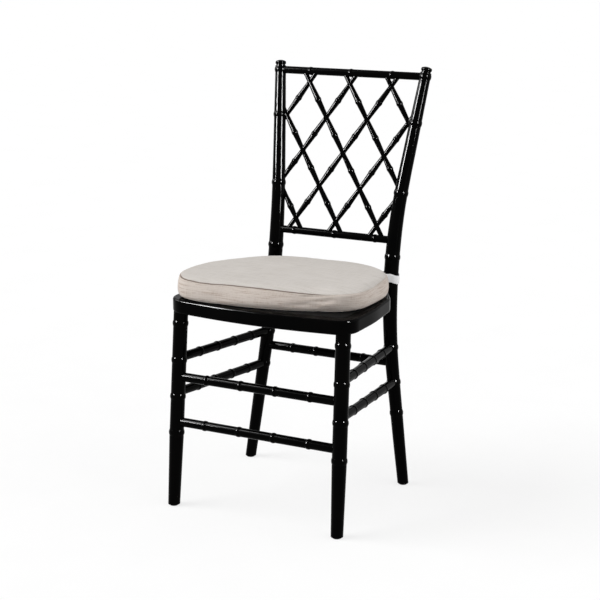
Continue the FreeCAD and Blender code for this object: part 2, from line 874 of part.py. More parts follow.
def make_front_leg(name, side):
    label = f"{name}_front_leg"
    direction = front_direction(side)
    below = size("leg_foot_diameter")
    foot = half("leg_foot_diameter")
    full = half("leg_diameter")

    def station(height):
        return below + height / direction.z

    profile = [(0, foot, None), (below, foot, None), (station(size("leg_full_height")), full, None)]
    for index in range(LEG_BEADS):
        height = size("leg_bead_first") + index * size("leg_bead_pitch")
        profile += bead(station(height), lambda _: full, "leg_bead")
    profile.append((station(seat_bottom() + size("seat_edge_radius")), full, None))
    place = front_axis(side, 0)
    body = turned(label, place - direction * below, direction, profile)

    tools = leg_holes[name] + [floor_cut(label, place), make_glide(f"front_{name}_glide", place)]
    # The leg's top is hollowed to fit the rounded lower edge of the frame's corner
    fit = size("joint_fit")
    room, rounded = slab(f"{label}_seat_room", inset(seat_corners(), -fit), seat_bottom() - fit,
                         "Sizes.seat_rail_height * 2", seat_radii("(-Sizes.joint_fit)"))
    room.Tip = round_edges(room, rounded, lies_flat, "Sizes.seat_edge_radius + Sizes.joint_fit")
    node(label, cut(label, body, tools + [room]))


def post_circle(label, index, post, station, radius):
    direction = post.direction(station)
    circle = add("Part::Circle", f"{label}_section_{index}")
    circle.setExpression("Radius", expression(radius))
    normal = post.lower.cross(post.inward)
    turn = Rotation(normal.cross(direction), normal, direction, "ZXY")
    circle.Placement = Placement(post.point(station), turn)
    return circle


def post_bead(label, post, height):
    """A bead on the post: a spheroid about the axis that stands proud over the bead's width."""
    inner = f"({expression(post_radius(height))})"
    outer = f"({inner} + Sizes.leg_bead_rise)"
    item = add("Part::Ellipsoid", f"{label}_bead_{height:.0f}", Angle1=-90, Angle2=90)
    item.setExpression("Radius2", outer)
    item.setExpression("Radius3", outer)
    item.setExpression("Radius1", f"Sizes.leg_bead_width / 2 / sqrt(1 - ({inner} / {outer}) ^ 2)")
    station = post.station(height)
    item.Placement = Placement(post.point(station), facing(post.direction(station)))
    return item


def make_rear_post(name):
    label = f"{name}_rear_post"
    post = POSTS[name]
    finial_height = size("finial_neck_height") + size("button_height")
    top = post.length - finial_height
    below = size("post_foot_diameter")
    bend_end = post.lower_length + post.bend_length
    stations = [-below + (post.lower_length + below) * index / POST_SECTIONS_PER_RUN
                for index in range(POST_SECTIONS_PER_RUN)]
    stations += [post.lower_length + post.bend_length * index / POST_SECTIONS_IN_BEND
                 for index in range(POST_SECTIONS_IN_BEND)]
    stations += [bend_end + (top - bend_end) * index / POST_SECTIONS_PER_RUN
                 for index in range(POST_SECTIONS_PER_RUN + 1)]
    sections = [post_circle(label, index, post, station, post_radius(post.point(station).z))
                for index, station in enumerate(stations)]
    shaft = add("Part::Loft", f"{label}_shaft", Sections=sections, Solid=True, Ruled=False)

    heights = [size("post_bead_foot"), size("side_rung_lower_rear"), size("side_rung_upper_rear"),
               size("post_bead_knee"), top_rail_height()]
    heights += [BACK.point(0, BACK.row(row)).z for row in (1, 3)]
    beads = [post_bead(label, post, height) for height in heights]

    neck = half("finial_neck_diameter")
    shoulder = half("button_shoulder_diameter")
    neck_top = size("finial_neck_height")
    edge_top = neck_top + size("button_edge_height")
    crown = dome_arc(shoulder, (("button_height", 1), ("button_edge_height", -1)))
    edge = ("Sizes.button_edge_radius", size("button_edge_radius"))
    profile = [
        (-neck_top, neck, None),
        (neck_top, neck, edge),
        (edge_top, shoulder, crown),
        (finial_height, (), None),
    ]
    finial = turned(f"{label}_finial", post.point(top), post.upper, profile)
    whole = add("Part::MultiFuse", f"{label}_whole", Shapes=[shaft, *beads, finial])

    foot = post.at(0)
    tools = post_holes[name] + [floor_cut(label, foot), make_glide(f"rear_{name}_glide", foot)]
    node(label, cut(label, whole, tools))


# Cushion and straps

def cushion_corners():
    seat = seat_corners()
    across = seat[1].x - size("cushion_side_inset")
    front = size("cushion_front_inset")
    right = [(across, seat[1].y + front), (across, seat[4].y - size("cushion_rear_inset"))]
    return both_sides((0, seat[0].y + front), right)


def cushion_radii():
    return [size("seat_front_radius")] + [size(f"cushion_{kind}_radius") for kind in
                                          ("corner", "rear", "rear", "corner")]


def rounded_wire(corners, radii, height):
    """A closed outline of lines and tangent arcs at a height."""
    rounds = []
    for index, corner in enumerate(corners):
        before = unit(corner - corners[index - 1])
        after = unit(corners[(index + 1) % len(corners)] - corner)
        tangent = radii[index] * math.tan(before.getAngle(after) / 2)
        bisector = unit(after - before)
        depth = radii[index] / math.cos(before.getAngle(after) / 2) - radii[index]
        rounds.append((corner - before * tangent, corner + bisector * depth, corner + after * tangent))
    lift = Z * height
    edges = []
    for index, (start, middle, end) in enumerate(rounds):
        following = rounds[(index + 1) % len(rounds)][0]
        edges.append(Part.Arc(start + lift, middle + lift, end + lift).toShape())
        edges.append(Part.makeLine(end + lift, following + lift))
    return Part.Wire(edges)


def cushion_levels():
    low = size("seat_height") + size("cushion_rest_gap")
    seam = low + size("cushion_boxing_height")
    return low, (low + seam) / 2, seam


def make_cushion():
    low, swell, seam = cushion_levels()
    corners = cushion_corners()
    radii = cushion_radii()
    drawn = inset(corners, size("cushion_draw_in"))
    drawn_radii = [radius - size("cushion_draw_in") for radius in radii]
    boxing = Part.makeLoft([
        rounded_wire(drawn, drawn_radii, low),
        rounded_wire(corners, radii, swell),
        rounded_wire(drawn, drawn_radii, seam),
    ], True, False)
    middle = Vector(0, (min(point.y for point in drawn) + max(point.y for point in drawn)) / 2, 0)
    sections = [rounded_wire(drawn, drawn_radii, seam)]
    for share in CROWN_SHARES:
        smaller = [middle + (point - middle) * share for point in drawn]
        height = seam + size("cushion_crown") * (1 - share ** CROWN_POWER)
        sections.append(rounded_wire(smaller, [radius * share for radius in drawn_radii], height))
    crown = Part.makeLoft(sections, True, True)
    cushion = add("Part::Feature", "seat_cushion_solid", Shape=boxing.fuse(crown).removeSplitter())
    node("seat_cushion", cushion)


def cushion_rear_round():
    """Centre of the rounding at the cushion's right rear corner."""
    corners = cushion_corners()
    corner = corners[2]
    before = unit(corner - corners[1])
    after = unit(corners[3] - corner)
    reach = size("cushion_rear_radius") / math.cos(before.getAngle(after) / 2)
    return corner + unit(after - before) * reach


def make_strap(name, side):
    """A band round the post with a tab that reaches to the cushion's rear corner."""
    label = f"{name}_strap"
    post = POSTS[name]
    tall = size("strap_height")
    low = size("seat_height") + size("strap_lift")
    axis_point = post.at(low + tall / 2)
    start = axis_point - Z * (tall / 2)
    inner_text = "Sizes.post_knee_diameter / 2 + Sizes.strap_gap"
    band = cylinder(f"{label}_band", start, Z, f"{inner_text} + Sizes.strap_thickness", tall)
    room = cylinder(f"{label}_room", start - Z * tall, Z, inner_text, 3 * tall)

    centre = mirrored(cushion_rear_round(), side)
    towards = Vector(centre.x - axis_point.x, centre.y - axis_point.y, 0)
    length = towards.Length - size("cushion_rear_radius") - size("cushion_rest_gap")
    towards = unit(towards)
    across = Z.cross(towards)
    thick = 2 * size("strap_thickness")
    corner = Vector(axis_point.x, axis_point.y, low) - across * (thick / 2)
    tab = box(f"{label}_tab", corner, Vector(length, thick, tall), Rotation(towards, across, Z, "ZXY"))
    whole = add("Part::Fuse", f"{label}_whole", Base=band, Tool=tab)
    node(label, cut(label, whole, [room]))


# Build, check and write

make_rungs()
make_back()
make_seat()
for side_name, side_sign in SIDES.items():
    make_front_leg(side_name, side_sign)
    make_rear_post(side_name)
    make_strap(side_name, side_sign)
make_cushion()
doc.recompute()

failed = [item.Label for item in doc.Objects if {"Invalid", "Error"} & set(item.State)]
if failed:
    raise RuntimeError(f"failed objects: {failed}")
for item in nodes:
    if item.Shape.isNull() or not item.Shape.isValid() or len(item.Shape.Solids) != 1:
        raise RuntimeError(f"{item.Label} is not one valid solid: {len(item.Shape.Solids)} solids")

os.makedirs("parts", exist_ok=True)
for item in nodes:
    item.Shape.exportStep(f"parts/{item.Label}.step")
whole_box = FreeCAD.BoundBox()
for item in nodes:
    whole_box.add(item.Shape.BoundBox)
print(f"{len(nodes)} nodes, box {whole_box}")
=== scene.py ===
# %% [markdown]
# A cross back chair
#
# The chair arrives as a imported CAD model: every turned leg, rung and slat at its real size and place. This
# lesson dresses it. The wood keeps its CAD shape and gets a lacquer, and the two soft things, the cushion and
# its straps, are made again as cloth. All lengths are in metres, in the frame that the CAD model uses: the
# chair stands on z = 0 and faces -Y.

import json
import math

import bmesh
import bpy
from mathutils import Matrix, Vector
from mathutils.bvhtree import BVHTree


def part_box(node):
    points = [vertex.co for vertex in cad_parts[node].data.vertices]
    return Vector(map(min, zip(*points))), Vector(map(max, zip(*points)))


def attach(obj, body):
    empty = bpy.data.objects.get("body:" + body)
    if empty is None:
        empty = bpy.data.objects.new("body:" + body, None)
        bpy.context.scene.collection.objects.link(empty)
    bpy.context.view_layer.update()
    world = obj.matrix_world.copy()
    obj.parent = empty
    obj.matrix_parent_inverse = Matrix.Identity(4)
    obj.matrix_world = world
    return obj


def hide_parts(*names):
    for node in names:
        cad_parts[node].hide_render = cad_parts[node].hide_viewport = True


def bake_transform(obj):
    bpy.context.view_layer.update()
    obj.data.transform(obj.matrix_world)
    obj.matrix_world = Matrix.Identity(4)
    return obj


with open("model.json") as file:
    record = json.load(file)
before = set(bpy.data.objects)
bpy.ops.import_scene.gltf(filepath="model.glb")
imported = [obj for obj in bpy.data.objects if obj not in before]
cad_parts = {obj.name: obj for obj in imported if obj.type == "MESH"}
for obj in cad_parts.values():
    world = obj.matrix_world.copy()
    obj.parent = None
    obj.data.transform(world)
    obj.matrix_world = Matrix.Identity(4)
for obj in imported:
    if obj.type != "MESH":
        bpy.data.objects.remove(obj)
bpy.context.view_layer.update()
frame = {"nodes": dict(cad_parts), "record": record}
nodes = frame["nodes"]
scene = bpy.context.scene
MM = 0.001

# %% [markdown]
# Camera
#
# A photograph fixes its camera: the feet, the seat and the back only line up from one place. These values
# were fitted to the chair's own corners. Blender asks for a lens in millimetres, so the focal length, which
# was found in pixels, is scaled by the sensor's width. Depth of field stays off.

# %% Camera
CAMERA_PLACE = Vector((1.4313, -2.7910, 1.2293))
CAMERA_AZIMUTH = math.radians(27.30)
CAMERA_DROP = math.radians(14.34)
FOCAL_PIXELS = 1489.3
IMAGE_PIXELS = 600
SENSOR_WIDTH = 36.0

camera_data = bpy.data.cameras.new("camera")
camera_data.sensor_width = SENSOR_WIDTH
camera_data.lens = FOCAL_PIXELS / IMAGE_PIXELS * SENSOR_WIDTH
camera = bpy.data.objects.new("camera", camera_data)
scene.collection.objects.link(camera)
level = math.cos(CAMERA_DROP)
sight = Vector((-math.sin(CAMERA_AZIMUTH) * level, math.cos(CAMERA_AZIMUTH) * level, -math.sin(CAMERA_DROP)))
camera.location = CAMERA_PLACE
camera.rotation_euler = sight.to_track_quat("-Z", "Y").to_euler()
scene.camera = camera
print(f"lens {camera_data.lens:.1f} mm")

# %% [markdown]
# Shader sums
#
# A material is a graph of nodes, and drawing graphs by hand in code is long. This small class wraps one
# output socket, so that a sum such as 1 - mask * 0.3 adds the Math nodes it needs. Every other node comes
# from one method that sets the node's options first and then its sockets.

# %% Shader sums
class Wire:
    """An output socket that can stand in a Python sum."""

    def __init__(self, socket):
        self.socket = socket
        self.tree = socket.id_data

    @staticmethod
    def node(tree, kind, settings=None, inputs=None, output=0):
        made = tree.nodes.new(kind)
        for name, value in (settings or {}).items():
            if name == "stops":
                Wire.set_stops(made.color_ramp.elements, value)
            else:
                setattr(made, name, value)
        for name, value in (inputs or {}).items():
            if isinstance(value, Wire):
                tree.links.new(value.socket, made.inputs[name])
            else:
                made.inputs[name].default_value = value
        return Wire(made.outputs[output]) if len(made.outputs) else made

    @staticmethod
    def set_stops(elements, stops):
        while len(elements) < len(stops):
            elements.new(1.0)
        for element, (place, colour) in zip(elements, stops):
            element.position = place
            element.color = (*colour, 1.0)

    def add(self, kind, settings=None, inputs=None, output=0):
        return Wire.node(self.tree, kind, settings, inputs, output)

    def math(self, operation, first, second=0.0):
        return self.add("ShaderNodeMath", {"operation": operation}, {0: first, 1: second})

    def __add__(self, other):
        return self.math("ADD", self, other)

    def __sub__(self, other):
        return self.math("SUBTRACT", self, other)

    def __rsub__(self, other):
        return self.math("SUBTRACT", other, self)

    def __mul__(self, other):
        return self.math("MULTIPLY", self, other)

    __radd__ = __add__
    __rmul__ = __mul__

    def sine(self):
        return self.math("SINE", self)

    def larger(self, other):
        return self.math("MAXIMUM", self, other)

    def axis(self, letter):
        return self.add("ShaderNodeSeparateXYZ", inputs={"Vector": self}, output="XYZ".index(letter))

    def stretched(self, by):
        return self.add("ShaderNodeVectorMath", {"operation": "MULTIPLY"}, {0: self, 1: by})

    def noise(self, scale, detail=3.0, roughness=0.5):
        values = {"Vector": self, "Scale": scale, "Detail": detail, "Roughness": roughness}
        return self.add("ShaderNodeTexNoise", inputs=values)

    def ramp(self, *stops):
        return self.add("ShaderNodeValToRGB", {"stops": stops}, {"Fac": self})

    def between(self, low, high):
        """0 below low, 1 above high, and smooth from one to the other."""
        values = {"Value": self, "From Min": low, "From Max": high}
        return self.add("ShaderNodeMapRange", {"interpolation_type": "SMOOTHSTEP"}, values)

    def tinted(self, colour, share):
        """This colour multiplied by another one, in part."""
        kind = {"data_type": "RGBA", "blend_type": "MULTIPLY"}
        return self.add("ShaderNodeMix", kind, {"Factor": share, "A": self, "B": colour}, output="Result")

    def bump(self, distance, strength=1.0):
        return self.add("ShaderNodeBump", inputs={"Height": self, "Distance": distance, "Strength": strength})


def new_material(name):
    """An empty material, and the place of each point on the surface in the object's own frame."""
    material = bpy.data.materials.new(name)
    material.use_nodes = True
    material.node_tree.nodes.clear()
    place = Wire.node(material.node_tree, "ShaderNodeTexCoord", output="Object")
    return material, place


def finish_material(material, **sockets):
    """Close a material with one Principled shader; socket names are written with underscores."""
    tree = material.node_tree
    values = {name.replace("_", " "): value for name, value in sockets.items()}
    shader = Wire.node(tree, "ShaderNodeBsdfPrincipled", inputs=values)
    Wire.node(tree, "ShaderNodeOutputMaterial", inputs={"Surface": shader})
    return material


print("shader sums ready")

# %% [markdown]
# Gloss black lacquer
#
# The wood is sprayed black until no grain shows. What is left to see is the gloss: thin bright lines where
# the lamps mirror in the round pieces, broken a little because a sprayed film is never quite flat. A faint
# ripple in the normal gives that, and a slow change of roughness stands for the film's thickness. The index
# of refraction is set below that of real lacquer, or the white room would grey the black at low angles.

# %% Gloss black lacquer
FILM_SCALE = 14.0
RIPPLE_SCALE = 160.0
RIPPLE_DEPTH = 0.02 * MM
LACQUER_IOR = 1.08
LACQUER_SHADES = (0.0005, 0.0005, 0.0006), (0.0011, 0.0010, 0.0009)


def gloss_lacquer():
    material, place = new_material("gloss_lacquer")
    film = place.noise(FILM_SCALE, detail=4.0)
    ripple = place.noise(RIPPLE_SCALE, detail=1.0)
    dark, light = LACQUER_SHADES
    return finish_material(
        material,
        Base_Color=film.ramp((0.35, dark), (0.65, light)),
        Roughness=film * 0.04 + 0.04,
        IOR=LACQUER_IOR,
        Normal=ripple.bump(RIPPLE_DEPTH),
    )


LACQUER = gloss_lacquer()
print(LACQUER.name)

# %% [markdown]
# Hidden wood
#
# Under the seat there are a stained plywood panel, raw corner blocks and dowels. Few people look there, but
# someone who turns the chair over should find real wood. A scanned board would be an image; here grain is
# noise that is stretched along the board, fine for the fibres and coarse for the growth rings.

# %% Hidden wood
GRAIN_STRETCH = 0.06
FIBRE_SCALE = 900.0
GRAIN_DEPTH = 0.2 * MM


def grained_wood(name, dark, light, along, ring_pitch, gloss=0.5):
    """Wood whose grain runs along one axis of the object."""
    material, place = new_material(name)
    stretch = tuple(GRAIN_STRETCH if letter == along else 1.0 for letter in "XYZ")
    fibre = place.stretched(stretch).noise(FIBRE_SCALE, detail=4.0)
    bands = place.stretched(stretch).noise(1.0 / ring_pitch, detail=2.0)
    grain = fibre * 0.4 + bands * 0.6
    return finish_material(
        material,
        Base_Color=grain.ramp((0.32, dark), (0.68, light)),
        Roughness=fibre * 0.2 + 0.5,
        Specular_IOR_Level=gloss,
        Normal=grain.bump(GRAIN_DEPTH),
    )


PLYWOOD_SHADES = (0.0010, 0.0009, 0.0008), (0.0040, 0.0035, 0.0030)
BLOCK_SHADES = (0.24, 0.15, 0.08), (0.42, 0.29, 0.17)
DOWEL_SHADES = (0.45, 0.31, 0.18), (0.60, 0.44, 0.28)
PLYWOOD = grained_wood("stained_plywood", *PLYWOOD_SHADES, along="X", ring_pitch=25 * MM, gloss=0.03)
BLOCK = grained_wood("sawn_block", *BLOCK_SHADES, along="X", ring_pitch=6 * MM)
DOWEL = grained_wood("beech_dowel", *DOWEL_SHADES, along="Z", ring_pitch=4 * MM)
print(PLYWOOD.name, BLOCK.name, DOWEL.name)

# %% [markdown]
# Steel and plastic
#
# The screws and bolts are zinc plated, and the glides under the feet are moulded plastic. Brushed zinc is the
# grain trick again at a much finer scale, this time in the roughness of a metal. The mould leaves a fine spark
# on the plastic, and the floor scuffs it.

# %% Steel and plastic
BRUSH_STRETCH = 1.0, 1.0, 0.05
BRUSH_DEPTH = 0.02 * MM
SPARK_DEPTH = 0.05 * MM


def zinc_steel():
    material, place = new_material("zinc_steel")
    brushed = place.stretched(BRUSH_STRETCH).noise(2500.0, detail=3.0)
    bloom = place.noise(160.0)
    return finish_material(
        material,
        Base_Color=bloom.ramp((0.3, (0.46, 0.46, 0.47)), (0.7, (0.62, 0.61, 0.58))),
        Metallic=1.0,
        Roughness=brushed * 0.2 + 0.25,
        Normal=brushed.bump(BRUSH_DEPTH),
    )


def moulded_plastic():
    material, place = new_material("moulded_plastic")
    spark = place.noise(1800.0, detail=2.0)
    scuff = place.noise(90.0, detail=4.0)
    return finish_material(
        material,
        Base_Color=scuff.ramp((0.35, (0.012, 0.012, 0.012)), (0.7, (0.035, 0.034, 0.033))),
        Roughness=scuff * 0.2 + 0.5,
        Normal=spark.bump(SPARK_DEPTH),
    )


STEEL = zinc_steel()
PLASTIC = moulded_plastic()
print(STEEL.name, PLASTIC.name)

# %% [markdown]
# Dressing the CAD nodes
#
# The record names a material slot for every node, so no list of pieces is written here: each rigid node gets
# the finish of its slot. The soft slots are missing from the table, because those nodes are replaced below.

# %% Dressing the CAD nodes
FINISHES = {
    "lacquer": LACQUER,
    "plywood": PLYWOOD,
    "block": BLOCK,
    "dowel": DOWEL,
    "steel": STEEL,
    "glide": PLASTIC,
}
slot_of = {part["node"]: part["material_slot"] for part in frame["record"]["subparts"]}
dressed = [name for name in nodes if slot_of[name] in FINISHES]
for name in dressed:
    mesh = nodes[name].data
    mesh.materials.clear()
    mesh.materials.append(FINISHES[slot_of[name]])
print(f"{len(dressed)} nodes dressed")

# %% [markdown]
# Oatmeal linen
#
# Linen yarn is spun unevenly, so the cloth has slubs: short thick stretches that show as darker and lighter
# dashes along the threads. The cloth of the side band runs round the cushion, and there the dashes lie level.
# Noise that is stretched along the thread makes the dashes, and two crossed sine waves make the weave. The top
# and the band get a material each, because their threads run in different directions. A third one, for the
# upper seam, is the band's linen with painted shade laid over it: a darker line down the seam's valley, fading
# out towards both sides of the cushion.

# %% Oatmeal linen
THREAD_PITCH = 1.1 * MM
SLUB_LENGTH = 0.040
SLUB_WIDTH = 1.3 * MM
SLUB_DEPTH = 0.4 * MM
PALE_LIFT = 1.08
TOP_SHADES = (0.590, 0.556, 0.522), (0.510, 0.470, 0.430)
BAND_SHADES = (0.605, 0.540, 0.490), (0.410, 0.315, 0.255)
# Painted shade of the upper seam: a colour multiplied into the band's linen, and the places across the chair
# where it fades in and out.
SEAM_PAINTED_SHADE = (0.40, 0.37, 0.35, 1.0)
SEAM_SHADE_FADES_IN = -0.215, -0.185
SEAM_SHADE_FADES_OUT = 0.10, 0.17


def weave_height(first, second):
    """Over and under of two thread systems, from the places across each."""
    turn = 2 * math.pi / THREAD_PITCH
    return (first * turn).sine() * (second * turn).sine()


def painted_seam_shade(place):
    """How much painted shade darkens the top seam: full across the middle, fading out towards both sides."""
    across = place.axis("X")
    return across.between(*SEAM_SHADE_FADES_IN) * (1 - across.between(*SEAM_SHADE_FADES_OUT))


def oatmeal_linen(name, across, pale, warm, painted_shade=None):
    """Linen whose slubs are thin along the given axis and long along the others."""
    material, place = new_material(name)
    fine = tuple(1 / SLUB_WIDTH if letter in across else 1 / SLUB_LENGTH for letter in "XYZ")
    cross = tuple(1 / SLUB_LENGTH if letter in across else 1 / SLUB_WIDTH for letter in "XYZ")
    slub = place.stretched(fine).noise(1.0, detail=3.0, roughness=0.6)
    thin_slub = place.stretched(cross).noise(0.8, detail=2.0)
    cloud = place.noise(16.0, detail=2.0)
    mark = slub * 0.65 + thin_slub * 0.2 + cloud * 0.15
    other = "Z" if across == "Y" else "Y"
    weave = weave_height(place.axis("X") + place.axis(other), place.axis(across))
    palest = tuple(PALE_LIFT * part for part in pale)
    colour = mark.ramp((0.36, warm), (0.50, pale), (0.66, palest))
    # Painted shade: where a mask is given, the colour is multiplied in part by the seam's shade colour.
    if painted_shade:
        colour = colour.tinted(SEAM_PAINTED_SHADE, painted_shade(place))
    return finish_material(
        material,
        Base_Color=colour,
        Roughness=0.86 + mark * 0.1,
        Specular_IOR_Level=0.0,
        Sheen_Weight=0.12,
        Normal=(weave * 0.25 + slub).bump(SLUB_DEPTH, 0.6),
    )


LINEN_TOP = oatmeal_linen("linen_top", "Y", *TOP_SHADES)
LINEN_BAND = oatmeal_linen("linen_band", "Z", *BAND_SHADES)
# The seam linen carries painted shade for the upper seam's valley.
LINEN_SEAM_SHADED = oatmeal_linen("linen_seam", "Z", *BAND_SHADES, painted_seam_shade)
print(LINEN_TOP.name, LINEN_BAND.name, LINEN_SEAM_SHADED.name)

# %% [markdown]
# Cushion outline
#
# The cushion fits the seat, and the CAD model already knows how. Its outline could be written down again, but
# then a change of the seat would leave the cloth behind. So rays shot at the CAD cushion from all round find
# how far it reaches, and the height at which its side turns into its crown is the seam.

# %% Cushion outline
RAY_MARGIN = 0.4 * MM
SEAM_STEPS = 400
SEAM_DROP = 0.3 * MM

cushion_low, cushion_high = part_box("seat_cushion")
centre = (cushion_low + cushion_high) / 2
solid = nodes["seat_cushion"].data
solid_tree = BVHTree.FromPolygons([v.co for v in solid.vertices], [p.vertices for p in solid.polygons])


def solid_reach(angle, height):
    """How far the CAD cushion reaches from its middle at an angle and a height."""
    outward = Vector((math.cos(angle), math.sin(angle), 0))
    start = Vector((centre.x, centre.y, height)) + outward
    return 1.0 - solid_tree.ray_cast(start, -outward)[3]


def find_seam():
    """Height of the seam round the top: where the side stops being steep."""
    tall = cushion_high.z - cushion_low.z
    heights = [cushion_low.z + tall * (step + 0.5) / SEAM_STEPS for step in range(SEAM_STEPS)]
    reaches = [solid_reach(-math.pi / 2, height) for height in heights]
    drops = [here - after for here, after in zip(reaches, reaches[1:])]
    widest = reaches.index(max(reaches))
    return next(heights[step] for step in range(widest, SEAM_STEPS - 1) if drops[step] > SEAM_DROP)


seam_height = find_seam()
print(f"seam at {seam_height:.4f} m")

# %% [markdown]
# Cushion pattern
#
# The pattern is cut a little large, because the stuffing will draw its seams in. A cushion in use isn't even,
# and sculpting it by hand would not follow a new size, so three short lists of bumps bend it: flares of the
# band's foot, bulges of the whole outline and lifts of the upper seam. A bump has a size, an angle in degrees
# round the cushion and a power that narrows it. The lower rim is tucked under.

# %% Cushion pattern
PANEL_CELLS = 64
CROWN_POWER = 12
LIFT_POWER = 5
CUT_LARGE = 2.5 * MM
CROWN_CUT = 0.32
RIM_LIFT = 1.0 * MM
RIM_TUCK = 3.0 * MM
RIM_POWER = 16
FLARES = (8.0 * MM, -112, 4), (-10.0 * MM, -33, 14)
BULGES = (7.0 * MM, -137, 60), (-6.0 * MM, -33, 14), (-30.0 * MM, 152, 6)
LIFTS = (-4.0 * MM, -42, 6), (-2.5 * MM, -145, 24), (4.5 * MM, -165, 12), (-3.0 * MM, 55, 4)

crown = (cushion_high.z - seam_height) * CROWN_CUT
rim_height = cushion_low.z + RIM_LIFT


def disc_place(column, row):
    """A cell corner of a square grid, moved onto a disc: its share of the radius, and its angle."""
    a = 2 * column / PANEL_CELLS - 1
    b = 2 * row / PANEL_CELLS - 1
    if a == 0 and b == 0:
        return 0.0, 0.0
    if abs(a) > abs(b):
        share, angle = a, math.pi / 4 * b / a
    else:
        share, angle = b, math.pi / 2 - math.pi / 4 * a / b
    return abs(share), angle + (math.pi if share < 0 else 0)


def summed(bumps, angle):
    """The sum of a list of bumps at an angle."""
    total = 0.0
    for most, middle, power in bumps:
        total += most * max(0.0, math.cos(angle - math.radians(middle))) ** power
    return total


def band_reach(angle, share):
    """How far the pattern reaches at an angle and a share of the band's height."""
    height = rim_height + (seam_height - rim_height) * share
    solid_part = solid_reach(angle, min(height, seam_height - RAY_MARGIN))
    uneven = summed(FLARES, angle) * (1 - share) + summed(BULGES, angle)
    return solid_part + CUT_LARGE + uneven - RIM_TUCK * (1 - share) ** RIM_POWER


def round_point(angle, reach, height):
    """A point by its angle round the cushion's middle, its reach from there and its height."""
    return Vector((centre.x + reach * math.cos(angle), centre.y + reach * math.sin(angle), height))


def panel_point(column, row, top):
    """A point of the upper or the lower panel, by its place on the grid."""
    share, angle = disc_place(column, row)
    if top:
        height = seam_height + crown * (1 - share ** CROWN_POWER) + summed(LIFTS, angle) * share ** LIFT_POWER
    else:
        height = cushion_low.z + RIM_LIFT * share ** RIM_POWER
    return round_point(angle, share * band_reach(angle, 1 if top else 0), height)


def band_point(angle, share):
    """A point of the side band, by its angle and its share of the height."""
    height = rim_height + (seam_height - rim_height) * share + summed(LIFTS, angle) * share
    return round_point(angle, band_reach(angle, share), height)


print(f"crown {crown / MM:.1f} mm, front reach {band_reach(-math.pi / 2, 1) / MM:.1f} mm")

# %% [markdown]
# Cushion, sewn
#
# A box cushion is two panels and a band sewn between them. The mesh is made the same way: a square grid is
# pulled onto the outline for each panel, and rows of quads join the two rims. A grid keeps its cells even,
# which a fan from the middle would not, and the cloth needs that. The seam edges are marked sharp, so that
# the next steps can find them.

# %% Cushion, sewn
BAND_ROWS = 8
TOP_SLOT, BAND_SLOT, SHADED_SEAM_SLOT = 0, 1, 2


def rim_places():
    """The grid places round the edge of a panel, in order."""
    last = PANEL_CELLS
    places = [(c, 0) for c in range(last)] + [(last, r) for r in range(last)]
    return places + [(c, last) for c in range(last, 0, -1)] + [(0, r) for r in range(last, 0, -1)]


def sew_cushion():
    """The closed cover: two panels and a band, with the seam edges marked sharp."""
    cover = bmesh.new()
    side = range(PANEL_CELLS + 1)
    panels = {}
    for top in (True, False):
        panels[top] = {(c, r): cover.verts.new(panel_point(c, r, top)) for c in side for r in side}
        for c in range(PANEL_CELLS):
            for r in range(PANEL_CELLS):
                corners = [panels[top][c + i, r + j] for i, j in ((0, 0), (1, 0), (1, 1), (0, 1))]
                cover.faces.new(corners if top else corners[::-1]).material_index = TOP_SLOT
    columns = []
    for place in rim_places():
        angle = disc_place(*place)[1]
        middle = [cover.verts.new(band_point(angle, k / BAND_ROWS)) for k in range(1, BAND_ROWS)]
        columns.append([panels[False][place], *middle, panels[True][place]])
    for here, after in zip(columns, columns[1:] + columns[:1]):
        for k in range(BAND_ROWS):
            cover.faces.new((here[k], after[k], after[k + 1], here[k + 1])).material_index = BAND_SLOT
        for end in (0, -1):
            cover.edges.get((here[end], after[end])).smooth = False
    mesh = bpy.data.meshes.new("cushion")
    cover.to_mesh(mesh)
    cover.free()
    piece = bpy.data.objects.new("cushion", mesh)
    scene.collection.objects.link(piece)
    for linen in (LINEN_TOP, LINEN_BAND, LINEN_SEAM_SHADED):
        mesh.materials.append(linen)
    return piece


cushion = sew_cushion()
print(f"{len(cushion.data.vertices)} points")

# %% [markdown]
# Cushion, stuffed
#
# Blender's cloth can blow a closed cover up with a pressure, and the seams are told to shrink, because a line
# of stitches is shorter than the cloth beside it. That is what puckers a real seam. The underside is pinned
# where it lies on the seat. How far a point may move is capped, so the cushion keeps its size.

# %% Cushion, stuffed
STUFFING_FRAMES = 20
SWELL_CAP = 3.0 * MM
CLOTH = {
    "quality": 6,
    "mass": 0.25,
    "tension_stiffness": 25,
    "compression_stiffness": 25,
    "shear_stiffness": 8,
    "bending_stiffness": 0.6,
    "use_pressure": True,
    "uniform_pressure_force": 1.6,
    "shrink_max": 0.012,
}


def seam_points(mesh):
    sharp = [edge for edge in mesh.edges if edge.use_edge_sharp]
    return sorted({index for edge in sharp for index in edge.vertices})


def add_cloth(piece):
    """A cloth modifier with the seams shrinking and the underside pinned."""
    mesh = piece.data
    seam = piece.vertex_groups.new(name="seam")
    seam.add(seam_points(mesh), 1.0, "REPLACE")
    resting = [v.index for v in mesh.vertices if v.co.z < cushion_low.z + RAY_MARGIN]
    pinned = piece.vertex_groups.new(name="resting")
    pinned.add(sorted(set(resting) - set(seam_points(mesh))), 1.0, "REPLACE")
    cloth = piece.modifiers.new("stuffing", "CLOTH")
    for name, value in CLOTH.items():
        setattr(cloth.settings, name, value)
    cloth.settings.vertex_group_mass = pinned.name
    cloth.settings.vertex_group_shrink = seam.name
    cloth.settings.effector_weights.gravity = 0
    return cloth


